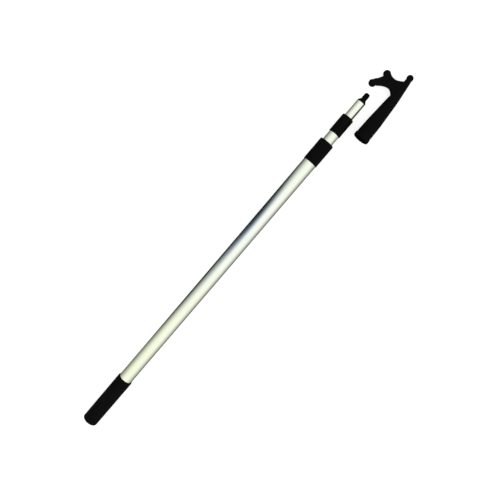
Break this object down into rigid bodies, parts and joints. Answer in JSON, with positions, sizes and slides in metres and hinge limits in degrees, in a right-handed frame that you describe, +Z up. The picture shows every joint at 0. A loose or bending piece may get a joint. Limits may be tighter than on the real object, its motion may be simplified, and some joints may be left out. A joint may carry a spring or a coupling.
{
  "type": "telescopic boat hook",
  "caption": "Telescopic aluminium boat hook with twist locks, end collars and a grip, lying closed with its screw-on plastic hook head beside the threaded tip.",
  "frame": {"origin": "centre of the footprint, on the ground that the closed pole and its head lie on", "axes": "+X along the pole from butt to threaded tip, +Y away from the loose head, +Z up"},
  "size_m": [0.996, 0.0815, 0.0352],
  "materials": {
    "anodised_tube": "clear anodised, fine drawn grain",
    "grip_rubber": "soft moulded, fine matt texture",
    "black_plastic": "moulded, low sheen",
    "nylon": "natural nylon",
    "steel": "stainless, turned",
    "brass": "turned"
  },
  "bodies": {
    "inner_section": {"inner_tube": "anodised_tube", "threaded_tip": "black_plastic", "tip_pin": "steel", "inner_lock_plug": "nylon", "inner_lock_stud": "steel", "inner_stop_clip": "steel", "inner_plug_pin": "steel"},
    "inner_lock_expander": {"inner_expander": "nylon"},
    "inner_lock_nut": {"inner_cone_nut": "brass"},
    "middle_section": {"middle_tube": "anodised_tube", "middle_collar": "black_plastic", "middle_lock_plug": "nylon", "middle_lock_stud": "steel", "middle_stop_clip": "steel", "middle_plug_pin": "steel"},
    "middle_lock_expander": {"middle_expander": "nylon"},
    "middle_lock_nut": {"middle_cone_nut": "brass"},
    "outer_section": {"outer_tube": "anodised_tube", "outer_collar": "black_plastic", "grip": "grip_rubber", "butt_plug": "black_plastic"},
    "head": {"hook_head": "black_plastic"}
  },
  "joints": [
    {"name": "inner_lock_twist", "type": "hinge", "parent": "inner_section", "child": "inner_lock_expander", "pos_m": [-0.37582, 0.02365, 0.0171], "axis": [-1, 0, 0], "range_deg": [0, 180]},
    {"name": "inner_nut_travel", "type": "slide", "parent": "inner_lock_expander", "child": "inner_lock_nut", "axis": [-1, 0, 0], "range_m": [0, 0.0006]},
    {"name": "inner_extend", "type": "slide", "parent": "inner_lock_expander", "child": "middle_section", "axis": [-1, 0, 0], "range_m": [0, 0.64]},
    {"name": "middle_lock_twist", "type": "hinge", "parent": "middle_section", "child": "middle_lock_expander", "pos_m": [-0.44182, 0.02365, 0.0171], "axis": [-1, 0, 0], "range_deg": [0, 180]},
    {"name": "middle_nut_travel", "type": "slide", "parent": "middle_lock_expander", "child": "middle_lock_nut", "axis": [-1, 0, 0], "range_m": [0, 0.0007]},
    {"name": "middle_extend", "type": "slide", "parent": "middle_lock_expander", "child": "outer_section", "axis": [-1, 0, 0], "range_m": [0, 0.62]},
    {"name": "head_lift", "type": "slide", "parent": "inner_section", "child": "head", "axis": [0, 0, 1], "range_m": [0, 0.08]}
  ],
  "couplings": [
    {"joint": "inner_nut_travel", "follows": "inner_lock_twist", "m_per_rad": 0.00015915},
    {"joint": "middle_nut_travel", "follows": "middle_lock_twist", "m_per_rad": 0.00019894}
  ]
}
